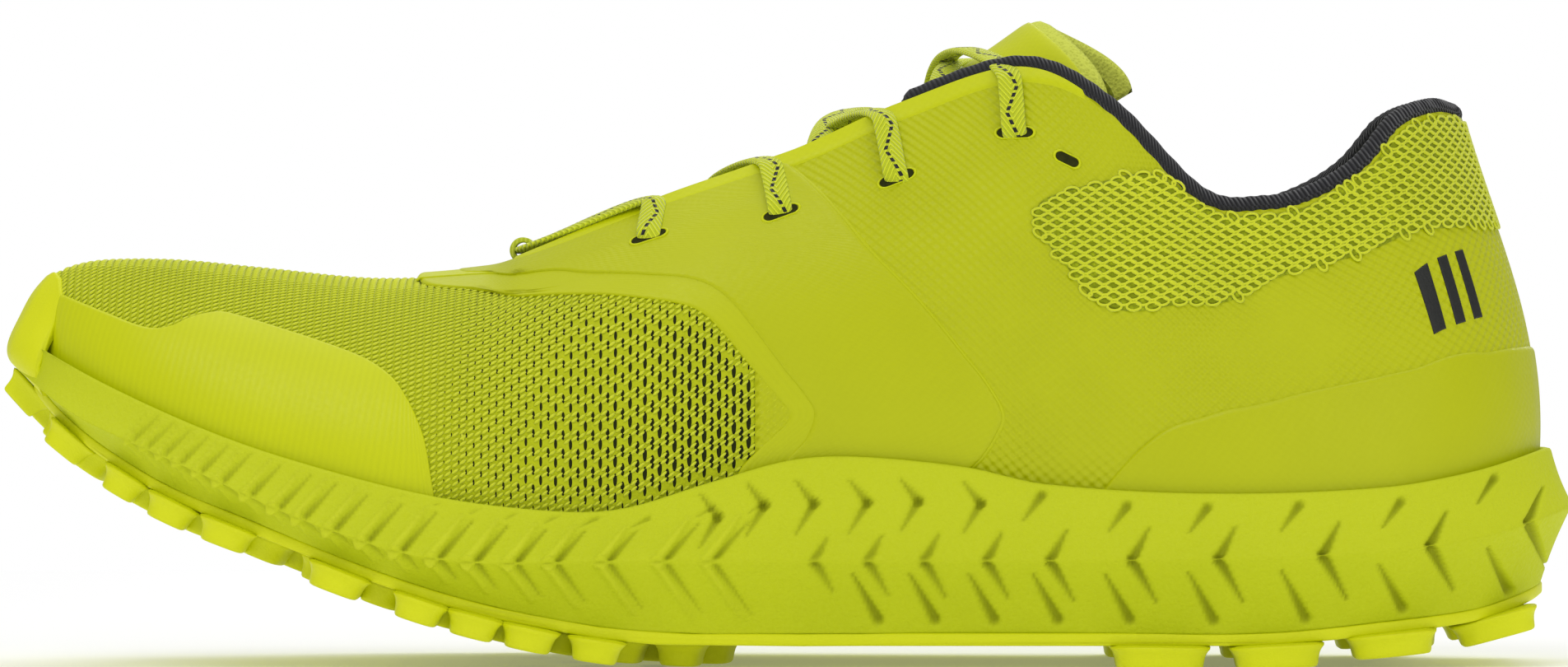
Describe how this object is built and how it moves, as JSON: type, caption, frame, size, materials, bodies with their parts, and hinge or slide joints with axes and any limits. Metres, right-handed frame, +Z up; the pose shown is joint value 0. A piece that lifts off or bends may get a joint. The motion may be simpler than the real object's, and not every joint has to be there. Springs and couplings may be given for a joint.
{
  "type": "running shoe",
  "caption": "Low-cut trail running shoe for the right foot: lugged rubber outsole, sculpted foam midsole, knit upper with fused overlays, padded collar, tongue and laces.",
  "frame": {"origin": "on the ground under the middle of the sole's length and width", "axes": "+Z up, the heel towards +X and the toe towards -X, the lateral side towards +Y and the arch side towards -Y"},
  "size_m": [0.298, 0.1088, 0.1235],
  "materials": {
    "outsole_rubber": "satin",
    "midsole_foam": "matte",
    "textile": "matte",
    "film": "satin",
    "lining": "matte",
    "foam": "matte",
    "board": "matte",
    "stiffener": "matte",
    "binding": "matte",
    "lace": "matte",
    "aglet": "gloss",
    "mark": "satin"
  },
  "bodies": {
    "shoe": {"outsole_base": "outsole_rubber", "outsole_front_lugs": "outsole_rubber", "outsole_heel_lugs": "outsole_rubber", "toe_rand": "outsole_rubber", "midsole": "midsole_foam", "strobel_board": "board", "vamp_knit": "textile", "rear_quarter": "textile", "collar_mesh": "textile", "quarter_medial": "textile", "quarter_lateral": "textile", "eyestay_medial": "film", "eyestay_lateral": "film", "toe_overlay_medial": "film", "toe_overlay_lateral": "film", "saddle_overlay_medial": "film", "saddle_overlay_lateral": "film", "heel_overlay": "film", "toe_puff": "stiffener", "heel_counter": "stiffener", "collar_foam": "foam", "collar_lining": "lining", "collar_binding": "binding", "heel_mark_medial": "mark", "heel_mark_lateral": "mark", "lace_loop": "textile", "shoelace": "lace", "aglet_medial": "aglet", "aglet_lateral": "aglet"},
    "tongue": {"tongue_face": "film", "tongue_foam": "foam", "tongue_lining": "lining"},
    "insole": {"insole": "lining"}
  },
  "joints": [
    {"name": "tongue_swing", "type": "hinge", "parent": "shoe", "child": "tongue", "pos_m": [-0.046, 0, 0.067], "axis": [0, 1, 0], "range_deg": [0, 8]},
    {"name": "insole_lift", "type": "hinge", "parent": "shoe", "child": "insole", "pos_m": [-0.1395, 0, 0.0615], "axis": [0, -1, 0], "range_deg": [0, 2.5]}
  ]
}
